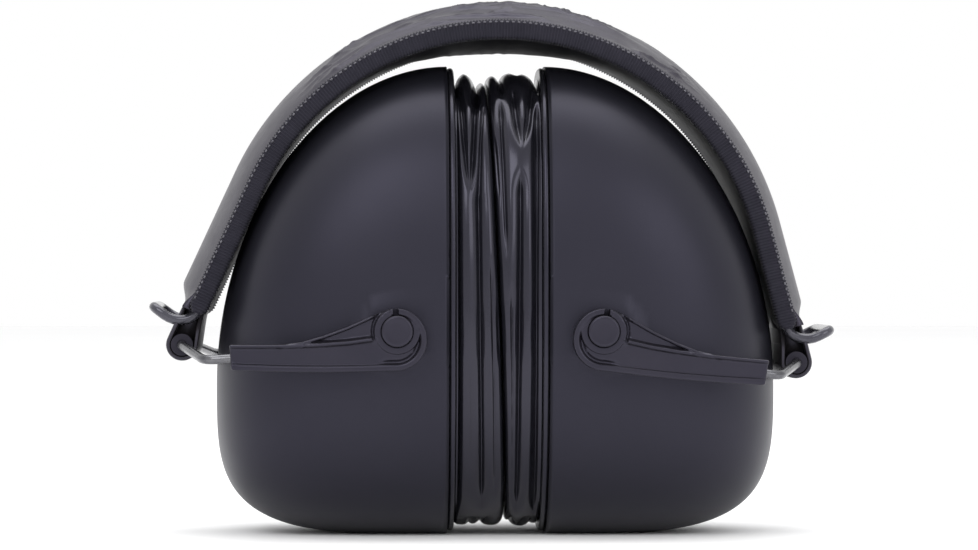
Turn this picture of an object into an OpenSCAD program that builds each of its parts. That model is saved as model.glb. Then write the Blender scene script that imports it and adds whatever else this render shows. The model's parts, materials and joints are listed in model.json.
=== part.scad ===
// Folding earmuff hearing protector. Two hollow cups with sealing cushions lie face to face
// inside a padded headband, carried by wire stirrups that slide in pivoting arms.
// X runs from cup to cup, -Y is the front, Z is up and the cups stand on z = 0.
// Sizes are in millimetres.

/* [Cups] */
// Height of a cup at its rim
cup_height = 102; // [98:0.5:106]
// Width of a cup from front to rear
cup_width = 76; // [74:0.5:77]
// Depth of a cup from its rim to its outermost point
cup_depth = 50.2; // [48:0.2:52]
// Distance from the middle of the part to each cup's rim
rim_x = 10.7; // [10.7:0.1:11.5]
// Height of a cup's outermost point
cup_nose_z = 33; // [31:1:35]
// Wall of a cup
cup_wall = 2.5; // [2:0.1:3]
// How much of the round lower end is cut away flat as a foot
foot_cut = 0.5; // [0.3:0.1:0.8]

/* [Cushions] */
// Clear gap between the two cushions
cushion_gap = 4.2; // [4:0.1:5]
// Thickness of the stiff ring that carries a cushion
ring_thickness = 1.5; // [1:0.1:2]
// Thickness of the plate behind the cushion, inside the rim
plate_thickness = 2; // [1.5:0.1:2.5]
// Height of the ear opening
ear_height = 60; // [56:1:64]
// Width of the ear opening
ear_width = 38; // [34:1:40]
// Skin of a cushion
skin_thickness = 1; // [0.8:0.1:1.4]
// Distance from the middle of the part to the face of the foam inside a cup
liner_x = 42; // [38:1:46]

/* [Pivots] */
// Distance from the middle of the part to each cup's pivot axis
pivot_x = 21.8; // [21.5:0.1:23]
// Height of the pivot axes
pivot_z = 44.4; // [43:0.1:46]
// Radius of a pivot post
post_r = 3.2; // [3:0.1:3.4]
// Radial running clearance of a post in its arm
post_clearance = 0.05; // [0.03:0.01:0.1]
// Radius of the round pad under an arm's head
pad_r = 8; // [7:0.5:9]

/* [Arms] */
// Length of an arm from its pivot to its end
arm_length = 35.4; // [34.5:0.1:36]
// Thickness of an arm from front to rear
arm_thickness = 4.4; // [4.2:0.1:5]
// Space between a cup's pad and the arm
arm_clearance = 0.5; // [0.4:0.1:0.8]
// Width of the slot that lets an arm's head spring over its post
head_slot = 1.1; // [0.8:0.1:1.4]

/* [Stirrup wires] */
// Diameter of a stirrup wire
wire_d = 2; // [1.8:0.1:2.2]
// Radial running clearance of a wire in its arm and its bush
wire_clearance = 0.05; // [0.03:0.01:0.1]
// How far a wire's sliding end lies below the line from hinge to pivot
wire_drop = 3.3; // [3.1:0.1:3.5]
// Length of a wire's straight sliding end
slide_length = 25; // [23:0.5:26]
// Run of a wire's shoulder along the arm
shoulder_run = 5.5; // [5:0.1:6]
// Half length of the crossbar that turns in the headband
crossbar_half = 19.5; // [19:0.1:20]

/* [Headband] */
// Radius of the headband's round stretch at the middle of its edge
band_r = 58.4; // [58:0.1:60]
// Distance of the round stretch's centre from the middle of the part, to the right
band_x = 0.9; // [0.5:0.1:1.2]
// Height of the round stretch's centre
band_z = 50.9; // [50:0.1:52]
// Angle at which the left straight end starts
left_flare = 25; // [23:0.5:27]
// Angle at which the right straight end starts
right_flare = 15; // [13:0.5:17]
// Distance from the start of the left straight end to its hinge
left_run = 37.9; // [37:0.1:39]
// Distance from the start of the right straight end to its hinge
right_run = 29.7; // [29:0.1:31]
// Distance from the end of the padding to a hinge
pad_stop = 7.6; // [7.2:0.1:8]
// Width of the headband from front to rear
band_width = 42; // [40:0.5:44]
// Thickness of the bound edges
edge_thickness = 4; // [3.5:0.1:4.5]
// Height of the padded crown above the bound edges
crown = 4.9; // [4:0.1:5.2]
// Radius of the end loops
loop_r = 3.5; // [3.3:0.1:3.7]

/* [Hidden] */
$fn = 48;
left = -1;
right = 1;
gap = 0.05;                       // space between pieces that are fixed together
black = [0.07, 0.07, 0.08];
gloss_black = [0.03, 0.03, 0.035];
steel = [0.62, 0.63, 0.65];
foam_grey = [0.30, 0.30, 0.32];

// Cups: the rounding of the upper profile, the lower profile and the plan, each as how flat it
// starts and how fast it ends, and the rounding of the oval section
round_top = [1.95, 1.95];
round_bottom = [3.8, 3.8];
round_plan = [3, 3];
round_oval = 2.6;
oval_points = 44;
dome_angles = [for (a = [0:6:84]) a, 88];   // where the ovals of a dome lie, as a quarter turn
oval_z = cup_height / 2;
pad_y = cup_width / 2 + 0.3;      // face of the pivot pads
arm_y = pad_y + arm_clearance;    // inner face of the arms
arm_face_y = arm_y + arm_thickness;
wire_r = wire_d / 2;
wire_y = arm_y + arm_thickness / 2;
stem_r = 2.5;                     // stem of a post in the cup's wall
lip_r = post_r + 0.4;
lip_thickness = 0.7;

// Cushions, measured from the middle of the part
seal_x = cushion_gap / 2;
ring_x = rim_x - ring_thickness;
seal_inset = 1.4;                 // cushion outline inside the rim outline

// Arm outline, measured from the pivot along the arm and square to it
head_r = 6.6;
head_at = [0.4, -1.7];
end_top = -0.4;
end_bottom = -5.7;
waist = [20.3, -0.9];
bore_start = 10.7;
recess = 0.9;

// Headband section, measured from the band's centre
half_band = band_width / 2;
binding_depth = 2.4;
half_pad = half_band - binding_depth;
half_edge = edge_thickness / 2;
arc_steps = 35;                   // steps between the stations round the band
side_crown = 0.75;                // share of the crown that is left at the sides
side_bulge = -0.5;                // how far the lining hangs below the bound edges at the sides
top_bulge = 2.9;                  // and how much more it hangs at the top
cover_thickness = 0.9;
lining_thickness = 0.7;
frame_r = 1.1;
frame_y = 15.6;
// Stops before a hinge: of the frame wire's bend, and of the foam, clear of the tongue
frame_stop = pad_stop - 1.4;
foam_stop = pad_stop + 7;
tongue_half = 13.4;
tongue_from = -0.7;               // inner face of the end loop's tongue
tongue_thickness = 2;
barrel_half = 17;
bush_r = 2.4;
tab_foot = [3.8, 4];              // corners of the frame wire's tabs: before the hinge, and out
tab_tip = [4.8, 9];

function flare(side) = side < 0 ? left_flare : right_flare;
function hinge_run(side) = side < 0 ? left_run : right_run;
// Point on a straight end, some way before its hinge and out from its middle line, from the
// band's centre
function end_point(side, stop = 0, out = 0) =
    let (a = flare(side), run = hinge_run(side) - stop)
    [side * ((band_r + out) * cos(a) + run * sin(a)), (band_r + out) * sin(a) - run * cos(a)];
function hinge_at(side) = [band_x, band_z] + end_point(side);
function pivot_at(side) = [side * pivot_x, pivot_z];
// Distance from pivot to hinge, and how far the hinge lies below the pivot as an angle
function reach(side) = norm(hinge_at(side) - pivot_at(side));
function droop(side) = asin((pivot_z - hinge_at(side)[1]) / reach(side));

// Height of a rounded profile at a fraction of its length
function rounded(t, n) = pow(max(0, 1 - pow(t, n[0])), 1 / n[1]);
function signed_power(v, n) = sign(v) * pow(abs(v), n);
// Oval with a half width, a half height and a centre height, no point lower than a floor
function oval(half_w, half_h, mid, low = 0) =
    [for (i = [0:oval_points - 1])
        let (a = 360 * (i + 0.5) / oval_points)
        [half_w * signed_power(cos(a), 2 / round_oval),
         max(low, mid + half_h * signed_power(sin(a), 2 / round_oval))]];
// Oval section of a dome at a fraction of its depth, inside the cup's surface by an inset
function dome_oval(t, inset) =
    let (top = cup_nose_z + (cup_height - inset - cup_nose_z) * rounded(t, round_top),
         low = cup_nose_z - (cup_nose_z + foot_cut - inset) * rounded(t, round_bottom),
         half_w = (cup_width / 2 - inset) * rounded(t, round_plan))
    oval(half_w, (top - low) / 2, (top + low) / 2, inset);

module placed(side) {
    mirror([side < 0 ? 1 : 0, 0, 0]) children();
}

// Closed solid through a row of rings with equal numbers of points, each ring turning left
// as seen from ahead. The last ring joins the first in a closed loop, or both get a cap.
module loft(rings, closed = false) {
    n = len(rings[0]);
    count = len(rings);
    spans = closed ? count : count - 1;
    polyhedron([for (ring = rings) each ring], concat(
        [for (k = [0:spans - 1], i = [0:n - 1]) let (next = (k + 1) % count)
            [k * n + i, next * n + (i + 1) % n, k * n + (i + 1) % n]],
        [for (k = [0:spans - 1], i = [0:n - 1]) let (next = (k + 1) % count)
            [k * n + i, next * n + i, next * n + (i + 1) % n]],
        closed ? [] : [[for (i = [0:n - 1]) i],
                       [for (i = [n - 1:-1:0]) (count - 1) * n + i]]));
}

// Solid dome of a cup's shape from its mouth out to its nose, with a straight lead before it
module dome(inset, lead = 0) {
    steps = concat(lead > 0 ? [-lead / cup_depth] : [], [for (a = dome_angles) sin(a)]);
    loft([for (t = steps) [for (p = dome_oval(max(0, t), inset))
        [rim_x + (cup_depth - inset) * t, p[0], p[1]]]]);
}

// Solid that stands on a plane square to X: 2D x becomes Y and 2D y becomes Z
module along_x(from, to) {
    translate([from, 0, 0]) rotate([90, 0, 90]) linear_extrude(to - from) children();
}

module rim_ring(inset, opening) {
    difference() {
        polygon(oval(cup_width / 2 - inset, cup_height / 2 - inset, oval_z));
        polygon(oval(ear_width / 2 + opening, ear_height / 2 + opening, oval_z));
    }
}

module rod_y(r, from, to) {
    translate([0, to, 0]) rotate([90, 0, 0]) cylinder(r = r, h = to - from);
}

module cup_shell(side) {
    placed(side) difference() {
        union() {
            dome(0);
            translate([pivot_x, 0, pivot_z]) rod_y(pad_r, -pad_y, pad_y);
        }
        dome(cup_wall, 1);
        translate([pivot_x, 0, pivot_z]) rod_y(stem_r, -pad_y - 1, pad_y + 1);
    }
}

module post() {
    rod_y(stem_r - gap, -pad_y, -cup_width / 2 + cup_wall + 0.6);
    rod_y(post_r, -arm_face_y - 0.1, -pad_y);
    rod_y(lip_r, -arm_face_y - 0.1 - lip_thickness, -arm_face_y - 0.1);
}

module pivot_posts(side) {
    placed(side) translate([pivot_x, 0, pivot_z]) {
        post();
        mirror([0, 1, 0]) post();
    }
}

module mounting_plate(side) {
    placed(side) along_x(rim_x + gap, rim_x + plate_thickness)
        rim_ring(cup_wall + 0.3, 1);
}

module cushion_ring(side) {
    placed(side) along_x(ring_x + gap, rim_x) rim_ring(seal_inset - 0.6, 1);
}

module cushion_skin(side) {
    placed(side) difference() {
        along_x(seal_x, ring_x) rim_ring(seal_inset, 0);
        along_x(seal_x + skin_thickness, ring_x + 1)
            rim_ring(seal_inset + skin_thickness, skin_thickness);
    }
}

module cushion_foam(side) {
    placed(side) along_x(seal_x + skin_thickness + gap, ring_x)
        rim_ring(seal_inset + skin_thickness + gap, skin_thickness + gap);
}

module foam_liner(side) {
    placed(side) intersection() {
        dome(cup_wall + 0.4);
        translate([liner_x, -cup_width, 0]) cube([cup_depth, 2 * cup_width, 2 * cup_height]);
    }
}

// Round head swung about the pivot, then a tapering shank to a square end
module arm_outline() {
    head = [for (a = [64:6:278]) head_at + head_r * [cos(a), sin(a)]];
    polygon(concat(head, [[arm_length, end_bottom], [arm_length, end_top], waist]));
}

// Arm seen from the front: its pivot at the origin and its end along +X
module arm_body() {
    difference() {
        rotate([90, 0, 0]) difference() {
            linear_extrude(arm_thickness) arm_outline();
            translate([0, 0, -1]) cylinder(r = post_r + post_clearance, h = arm_thickness + 2);
            translate([-head_slot / 2, post_r - 1, -1]) cube([head_slot, head_r, arm_thickness + 2]);
            translate([0, 0, arm_thickness - recess]) linear_extrude(recess + 1) {
                polygon([[5.4, 2.2], [5.4, -0.8], [17.8, -1]]);
                polygon([[7.3, -2.7], [33.7, -2.1], [33.7, -4.5], [7.3, -6.6]]);
            }
        }
        translate([bore_start, -arm_thickness / 2, -wire_drop]) rotate([0, 90, 0])
            cylinder(r = wire_r + wire_clearance, h = arm_length);
    }
}

// Moves a shape drawn along the line from pivot to hinge onto its side of the part
module on_arm_line(side) {
    placed(side) translate([pivot_x, 0, pivot_z]) rotate([0, droop(side), 0]) children();
}

module front_arm(side) {
    on_arm_line(side) translate([0, -arm_y, 0]) arm_body();
}

module rear_arm(side) {
    mirror([0, 1, 0]) front_arm(side);
}

// Round wire through a list of points, with a ball at each bend
module bent_wire(points, r) {
    for (i = [0:len(points) - 2]) {
        step = points[i + 1] - points[i];
        turn = atan2(step[1], step[0]);
        lean = acos(step[2] / norm(step));
        translate(points[i]) rotate([0, lean, turn]) cylinder(r = r, h = norm(step));
    }
    for (i = [1:len(points) - 2]) translate(points[i]) sphere(r * 1.02);
}

module stirrup_wire(side) {
    bend = reach(side) - shoulder_run;
    half = [[bend - slide_length, wire_y, -wire_drop], [bend, wire_y, -wire_drop],
            [reach(side), crossbar_half, 0]];
    other = [for (i = [2:-1:0]) [half[i][0], -half[i][1], half[i][2]]];
    on_arm_line(side) bent_wire(concat(half, other), wire_r);
}

// Headband pieces are drawn about the band's centre, then moved into place
module on_band() {
    translate([band_x, 0, band_z]) children();
}

// Stations along the band, right end first: each is an angle and a run down a straight end
function stations(stop) = let (turn = 180 - left_flare - right_flare) concat(
    [[right_flare, hinge_run(right) - stop]],
    [for (i = [0:arc_steps]) [right_flare + turn * i / arc_steps, 0]],
    [[180 - left_flare, hinge_run(left) - stop]]);
// Point of the band at a station: out from the middle line, and along the width
function band_point(station, out, along) =
    let (a = station[0], r = band_r + out, run = station[1])
    [r * cos(a) + sign(cos(a)) * run * sin(a), along, r * sin(a) - run * abs(cos(a))];
function fullness(y) = 1 - pow(y / half_pad, 2);
// Outer and lower surface of the padding at a station and a place across its width
function crown_out(a, y) =
    half_edge + crown * (side_crown + (1 - side_crown) * pow(sin(a), 2)) * fullness(y);
function lining_out(a, y) =
    -half_edge - (side_bulge + top_bulge * pow(max(0, sin(a)), 12)) * fullness(y);
function across(half) = [for (i = [-5:5]) half * i / 5];
function backwards(list) = [for (i = [len(list) - 1:-1:0]) list[i]];

module band_loft(rings) {
    on_band() loft(rings);
}

module headband_cover() {
    color(black) band_loft([for (s = stations(pad_stop)) concat(
        [for (y = across(half_pad)) band_point(s, crown_out(s[0], y), y)],
        [for (y = backwards(across(half_pad)))
            band_point(s, crown_out(s[0], y) - cover_thickness, y)])]);
}

module headband_lining() {
    color(black) band_loft([for (s = stations(pad_stop)) concat(
        [for (y = across(half_pad)) band_point(s, lining_out(s[0], y) + lining_thickness, y)],
        [for (y = backwards(across(half_pad))) band_point(s, lining_out(s[0], y), y)])]);
}

// Core with a groove on each side for the spring wire
module headband_foam() {
    half = half_pad - gap;
    above = frame_r + 2 * gap;
    outer_lip = [half, frame_y + above];
    inner_lip = frame_y - above;
    function under(a, y) = lining_out(a, y) + lining_thickness + gap;
    color(foam_grey) band_loft([for (s = stations(foam_stop)) let (a = s[0]) concat(
        [for (y = across(half)) band_point(s, crown_out(a, y) - cover_thickness - gap, y)],
        [for (y = outer_lip) band_point(s, under(a, y), y)],
        [for (y = [outer_lip[1], inner_lip]) band_point(s, above, y)],
        [for (y = backwards(across(inner_lip))) band_point(s, under(a, y), y)],
        [for (y = [-inner_lip, -outer_lip[1]]) band_point(s, above, y)],
        [for (y = backwards(-outer_lip)) band_point(s, under(a, y), y)])]);
}

module binding(at) {
    inner = at < 0 ? -half_band : half_pad + gap;
    outer = at < 0 ? -half_pad - gap : half_band;
    color(gloss_black) band_loft([for (s = stations(pad_stop))
        [band_point(s, -half_edge, inner), band_point(s, half_edge, inner),
         band_point(s, half_edge, outer), band_point(s, -half_edge, outer)]]);
}

// Direction square to a step in the XZ plane, away from the band's centre on its round stretch
function square_to(step) = [step[1], -step[0]] / norm(step);
// Mitred direction at a corner between two steps
function mitre(a, b) = let (u = square_to(a), v = square_to(b)) (u + v) / (1 + u * v);

// Closed spring wire: it runs round the front, across a tab's tip and back round the rear
module frame_wire() {
    sides = 10;
    function end(side) = [end_point(side, frame_stop), end_point(side, tab_foot[0], tab_foot[1]),
                          end_point(side, tab_tip[0], tab_tip[1])];
    arc = [for (s = stations(0)) if (s[1] == 0) band_r * [cos(s[0]), sin(s[0])]];
    route = concat(backwards(end(right)), arc, end(left));
    last = len(route) - 1;
    function tip_way(i) = let (way = route[i] - route[i == 0 ? 1 : i - 1]) way / norm(way);
    function normal(i) = i == 0 ? square_to(route[1] - route[0])
        : i == last ? square_to(route[last] - route[last - 1])
        : mitre(route[i] - route[i - 1], route[i + 1] - route[i]);
    // Sideways direction of a ring: along Y, leant outward by 45 degrees at the two tips
    function sideways(i, s) = i == 0 || i == last ? [tip_way(i)[0], s, tip_way(i)[1]] : [0, s, 0];
    function ring(i, s) = let (n = normal(i), w = sideways(i, s))
        [for (k = [0:sides - 1]) let (a = 360 * k / sides)
            [route[i][0], s * frame_y, route[i][1]]
            + frame_r * (cos(a) * [n[0], 0, n[1]] + sin(a) * w)];
    color(steel) on_band() loft(concat([for (i = [0:last]) ring(i, 1)],
                                       [for (i = [last:-1:0]) ring(i, -1)]), true);
}

// Leather loop sewn between the cover and the lining at one end of the headband
module end_loop(side) {
    hinge = end_point(side);
    color(black) on_band() placed(side) difference() {
        union() {
            rotate([0, -flare(side), 0]) rotate([180, 0, 0])
                translate([band_r + tongue_from, -tongue_half,
                           hinge_run(side) - foam_stop + gap])
                cube([tongue_thickness, 2 * tongue_half, foam_stop - 2.6]);
            translate([side * hinge[0], 0, hinge[1]]) rod_y(loop_r, -barrel_half, barrel_half);
        }
        translate([side * hinge[0], 0, hinge[1]]) rod_y(bush_r, -barrel_half - 1, barrel_half + 1);
    }
}

module loop_bush(side) {
    hinge = end_point(side);
    color(steel) on_band() placed(side) translate([side * hinge[0], 0, hinge[1]]) difference() {
        rod_y(bush_r - gap / 2, -barrel_half, barrel_half);
        rod_y(wire_r + wire_clearance, -barrel_half - 1, barrel_half + 1);
    }
}

headband_cover();
headband_foam();
headband_lining();
binding(-1);  // binding_front
binding(1);  // binding_rear
frame_wire();
end_loop(left);  // left_end_loop
loop_bush(left);  // left_loop_bush
end_loop(right);  // right_end_loop
loop_bush(right);  // right_loop_bush
color(steel) stirrup_wire(left);  // left_stirrup_wire
color(steel) stirrup_wire(right);  // right_stirrup_wire
color(black) front_arm(left);  // left_front_arm
color(black) rear_arm(left);  // left_rear_arm
color(black) front_arm(right);  // right_front_arm
color(black) rear_arm(right);  // right_rear_arm
color(black) cup_shell(left);  // left_cup_shell
color(black) pivot_posts(left);  // left_pivot_posts
color(black) mounting_plate(left);  // left_mounting_plate
color(gloss_black) cushion_ring(left);  // left_cushion_ring
color(gloss_black) cushion_skin(left);  // left_cushion_skin
color(foam_grey) cushion_foam(left);  // left_cushion_foam
color(foam_grey) foam_liner(left);  // left_foam_liner
color(black) cup_shell(right);  // right_cup_shell
color(black) pivot_posts(right);  // right_pivot_posts
color(black) mounting_plate(right);  // right_mounting_plate
color(gloss_black) cushion_ring(right);  // right_cushion_ring
color(gloss_black) cushion_skin(right);  // right_cushion_skin
color(foam_grey) cushion_foam(right);  // right_cushion_foam
color(foam_grey) foam_liner(right);  // right_foam_liner
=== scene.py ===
"""Looks of a folding earmuff hearing protector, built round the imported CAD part.

Shapes are worked out in millimetres and turned into metres when a mesh is made. X runs from
cup to cup, -Y is the front and Z is up, as in the CAD part. A cup's pieces are shaped for the
right side and mirrored for the left.
"""

import json
import math

import bmesh
import bpy
import numpy as np
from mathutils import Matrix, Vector
from mathutils.geometry import delaunay_2d_cdt


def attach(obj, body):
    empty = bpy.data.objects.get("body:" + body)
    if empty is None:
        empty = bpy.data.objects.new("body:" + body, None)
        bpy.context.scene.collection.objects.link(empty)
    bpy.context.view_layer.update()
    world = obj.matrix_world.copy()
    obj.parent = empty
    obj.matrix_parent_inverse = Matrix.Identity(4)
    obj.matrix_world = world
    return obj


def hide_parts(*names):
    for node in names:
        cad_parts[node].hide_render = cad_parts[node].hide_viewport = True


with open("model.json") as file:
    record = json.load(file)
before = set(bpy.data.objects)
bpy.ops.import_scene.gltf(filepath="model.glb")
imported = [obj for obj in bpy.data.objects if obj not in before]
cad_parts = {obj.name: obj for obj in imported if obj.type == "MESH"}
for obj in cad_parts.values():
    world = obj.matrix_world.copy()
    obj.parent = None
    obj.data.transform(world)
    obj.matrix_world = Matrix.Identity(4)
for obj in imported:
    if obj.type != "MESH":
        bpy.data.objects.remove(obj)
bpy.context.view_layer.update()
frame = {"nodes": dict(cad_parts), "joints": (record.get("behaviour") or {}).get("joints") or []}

MM = 0.001
SIDES = {"left": -1, "right": 1}
JOINTS = {j["name"]: j for j in frame["joints"]}

# Cups, as in the CAD part
CUP_HEIGHT, CUP_WIDTH, CUP_DEPTH, RIM_X, NOSE_Z = 102.0, 76.0, 50.2, 10.7, 33.0
CUP_WALL, FOOT_CUT, OVAL_POWER, OVAL_Z = 2.5, 0.5, 2.6, 51.0
ROUND_TOP, ROUND_BOTTOM, ROUND_PLAN = 1.95, 3.8, 3
PAD_FACE_Y, PAD_DISC_R, PAD_STEP, PAD_INNER_END = 38.3, 8.3, 0.3, 3
# The pad's upper and lower edges, beside the pivot: a point on each, and its way out
PAD_EDGES = (((5.2, 3.9), (0.327, 0.945)), ((-6.2, -5.8), (0.203, -0.979)))
EAR_HALF_WIDTH, EAR_HALF_HEIGHT = 19.0, 30.0
LINER_X, LINER_GAP, LINER_MID_Z = 42.0, 0.5, 46.0
RING_X, SKIN_INSET = 9.2, 1.7
SKIN_GAP, SKIN_LIP_R = 0.12, 3.0

# Arms and wires, in the arm's own frame: along the line from pivot to hinge, and square to it
ARM_FACE_Y, ARM_BACK_Y, POST_R = 43.2, 38.8, 3.2
ARM_SCALE = 35.4 / 37.1       # arms are drawn 37.1 long and come out 35.4 long
HEAD_R, HEAD_AT = 6.9, (0.4, -1.8)
UNDER_FROM, UNDER_RUN, UNDER_LOW, UNDER_RISE, UNDER_BOW = 1.3, 35.6, -8.63, 2.6, 0.4
FLAT_LEVEL, GROOVE_DEPTH, WEB_LEVEL, HEAD_LEVEL = -0.6, 0.8, -1.05, -1.4
LIP_RISE, RIDGE_RISE, COLLAR_RISE, RIM_RISE = 0.85, 1.2, 1.15, 1.4
COLLAR_R, MOAT_R, MOAT_DEPTH, EDGE_ROUND = 5.15, 5.45, 0.7, 0.32
WIRE_R, WIRE_Y, WIRE_DROP = 1.0, 41.0, 3.3
SLIDE_LENGTH, SHOULDER_RUN, CROSSBAR_HALF = 25.0, 5.5, 19.5

# Headband, about the band's centre
BAND_R, BAND_X, BAND_Z = 58.4, 0.9, 50.9
FLARE = {-1: math.radians(25), 1: math.radians(15)}
HINGE_RUN = {-1: 37.9, 1: 29.7}
PAD_STOP, FRAME_STOP = 7.6, 6.2
HALF_BAND, HALF_PAD, HALF_EDGE, CROWN = 21.0, 18.6, 2.0, 4.9
SIDE_CROWN, SIDE_BULGE, TOP_BULGE = 0.75, -0.5, 2.9
COVER_END_OUT, LINING_END_OUT, TUCK = 3.4, -1.1, 0.8
LOOP_R, LOOP_THICK, BARREL_HALF, TONGUE_HALF = 3.5, 1.1, 17.0, 13.4
CORE_LOW, CORE_HIGH, CORE_HALF = -1.5, 2.9, 12.9
SEAM_BACK, SEAM_HALF, SEAM_PITCH, THREAD_R = 4.7, 14, 2.2, 0.17
FRAME_R, FRAME_Y = 1.1, 15.6
TAB_FOOT, TAB_TIP = (3.8, 4.0), (4.8, 9.0)        # before the hinge, and out
ARC = {way: (math.pi / 2 - FLARE[way]) * BAND_R for way in (-1, 1)}
HINGE_AT = {way: ARC[way] + HINGE_RUN[way] for way in (-1, 1)}
PAD_END = {way: HINGE_AT[way] - PAD_STOP for way in (-1, 1)}


def joint_at(joint):
    """Place of a joint across and up, in millimetres."""
    x, _, z = JOINTS[joint]["pos_m"]
    return np.array([x, z]) / MM


def pivot(name):
    return joint_at(f"{name}_cup_turn")


def hinge(name):
    return joint_at(f"{name}_fold")


# ---------------------------------------------------------------- small helpers

def smooth(x, start, end):
    """0 before start, 1 after end, smooth between; start may be above end."""
    t = np.clip((x - start) / (end - start), 0, 1)
    return t * t * (3 - 2 * t)


def noise(x, y, seed):
    """Smooth noise from -1 to 1 with cells of unit size."""
    table = np.random.default_rng(seed).uniform(-1, 1, (64, 64))
    xi, yi = np.floor(x).astype(int), np.floor(y).astype(int)
    u, v = smooth(x - xi, 0, 1), smooth(y - yi, 0, 1)

    def at(a, b):
        return table[(xi + a) % 64, (yi + b) % 64]

    return ((at(0, 0) * (1 - u) + at(1, 0) * u) * (1 - v)
            + (at(0, 1) * (1 - u) + at(1, 1) * u) * v)


def grid_faces(rows, cols, close_rows):
    """Quads between rows of points that each close on themselves."""
    r = np.arange(rows if close_rows else rows - 1)[:, None]
    c = np.arange(cols)[None, :]
    r2, c2 = (r + 1) % rows, (c + 1) % cols
    quads = np.stack([r * cols + c, r * cols + c2, r2 * cols + c2, r2 * cols + c], -1)
    return quads.reshape(-1, 4).tolist()


def make_piece(name, verts, faces, body, material, replaces=(), sharp=None):
    """A mesh from points in millimetres, smooth shaded, riding on a body."""
    mesh = bpy.data.meshes.new(name)
    mesh.from_pydata((np.asarray(verts, float).reshape(-1, 3) * MM).tolist(), [], faces)
    work = bmesh.new()
    work.from_mesh(mesh)
    bmesh.ops.recalc_face_normals(work, faces=work.faces)
    work.to_mesh(mesh)
    work.free()
    mesh.polygons.foreach_set("use_smooth", [True] * len(mesh.polygons))
    if sharp is not None:
        mesh.set_sharp_from_angle(angle=math.radians(sharp))
    obj = bpy.data.objects.new(name, mesh)
    bpy.context.scene.collection.objects.link(obj)
    mesh.materials.append(material)
    if replaces:
        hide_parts(*replaces)
    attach(obj, body)
    return obj


def capped(rings, close_rows=False):
    """Points and faces of a tube through rings of points, with a fan over each open end."""
    rings = np.asarray(rings, float)
    rows, cols = rings.shape[:2]
    verts = rings.reshape(-1, 3)
    faces = grid_faces(rows, cols, close_rows)
    if not close_rows:
        ends = np.array([rings[0].mean(0), rings[-1].mean(0)])
        verts = np.vstack([verts, ends])
        first, last = rows * cols, rows * cols + 1
        faces += [[first, (i + 1) % cols, i] for i in range(cols)]
        base = (rows - 1) * cols
        faces += [[last, base + i, base + (i + 1) % cols] for i in range(cols)]
    return verts, faces


def joined(parts):
    """Several (points, faces) pairs as one."""
    verts, faces, start = [], [], 0
    for v, f in parts:
        v = np.asarray(v, float).reshape(-1, 3)
        verts.append(v)
        faces += [[i + start for i in face] for face in f]
        start += len(v)
    return np.vstack(verts), faces


def mirrored(points, side):
    """Points shaped for the right side, on a side."""
    return np.asarray(points, float) * np.array([side, 1, 1])


def rounded_corners(points, radius, closed=False, steps=9):
    """A polyline with each inner corner replaced by a smooth arc."""
    p = np.asarray(points, float)
    n = len(p)
    out = [] if closed else [p[0]]
    for i in range(n) if closed else range(1, n - 1):
        a, b, c = p[i - 1], p[i], p[(i + 1) % n]
        la, lc = np.linalg.norm(a - b), np.linalg.norm(c - b)
        reach = min(radius, 0.48 * la, 0.48 * lc)
        start, end = b + (a - b) / la * reach, b + (c - b) / lc * reach
        for t in np.linspace(0, 1, steps):
            out.append((1 - t) ** 2 * start + 2 * t * (1 - t) * b + t ** 2 * end)
    if not closed:
        out.append(p[-1])
    return np.array(out)


def tube(path, radius, closed=False, sides=20):
    """Round tube along a path, with its ends rounded off."""
    p = np.asarray(path, float)
    if closed:
        tangent = np.roll(p, -1, 0) - np.roll(p, 1, 0)
    else:
        tangent = np.gradient(p, axis=0)
    tangent /= np.linalg.norm(tangent, axis=1)[:, None]
    normal = np.cross(tangent[0], [0.3, 0.2, 0.93])
    rings = []
    turn = np.linspace(0, 2 * np.pi, sides, endpoint=False)
    radii = np.full(len(p), radius)
    if not closed:  # a rounded end
        start, end = p[0] - tangent[0] * radius * 0.35, p[-1] + tangent[-1] * radius * 0.35
        p = np.vstack([start, p, end])
        tangent = np.vstack([tangent[:1], tangent, tangent[-1:]])
        radii = np.concatenate([[radius * 0.6], radii, [radius * 0.6]])
    for at, way, r in zip(p, tangent, radii):
        normal = normal - way * normal.dot(way)
        normal /= np.linalg.norm(normal)
        other = np.cross(way, normal)
        rings.append(at + r * (np.cos(turn)[:, None] * normal + np.sin(turn)[:, None] * other))
    return capped(rings, close_rows=closed)


# ---------------------------------------------------------------- materials

def new_material(name):
    mat = bpy.data.materials.new(name)
    mat.use_nodes = True
    tree = mat.node_tree
    return mat, tree, tree.nodes["Principled BSDF"]


def add(tree, kind, **values):
    node = tree.nodes.new(kind)
    for key, value in values.items():
        if key in node.inputs:
            node.inputs[key].default_value = value
        else:
            setattr(node, key, value)
    return node


def shades(tree, source, dark, light):
    """A colour ramp from a dark to a light shade."""
    ramp = add(tree, "ShaderNodeValToRGB")
    for element, place, colour in zip(ramp.color_ramp.elements, (0.3, 0.7), (dark, light)):
        element.position = place
        element.color = (*colour, 1)
    tree.links.new(source, ramp.inputs["Fac"])
    return ramp.outputs["Color"]


def noise_texture(tree, scale, detail):
    coords = add(tree, "ShaderNodeTexCoord")
    tex = add(tree, "ShaderNodeTexNoise", Scale=scale, Detail=detail, Roughness=0.55)
    tree.links.new(coords.outputs["Object"], tex.inputs["Vector"])
    return tex.outputs["Fac"]


def cells(tree, scale, feature):
    coords = add(tree, "ShaderNodeTexCoord")
    tex = add(tree, "ShaderNodeTexVoronoi", Scale=scale, feature=feature)
    tree.links.new(coords.outputs["Object"], tex.inputs["Vector"])
    return tex.outputs["Distance"]


COOL = (0.66, 0.635, 0.87, 1)     # cast of every dark surface's reflections
UNTINTED = ("drawn_steel", "pale_floor")


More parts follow.
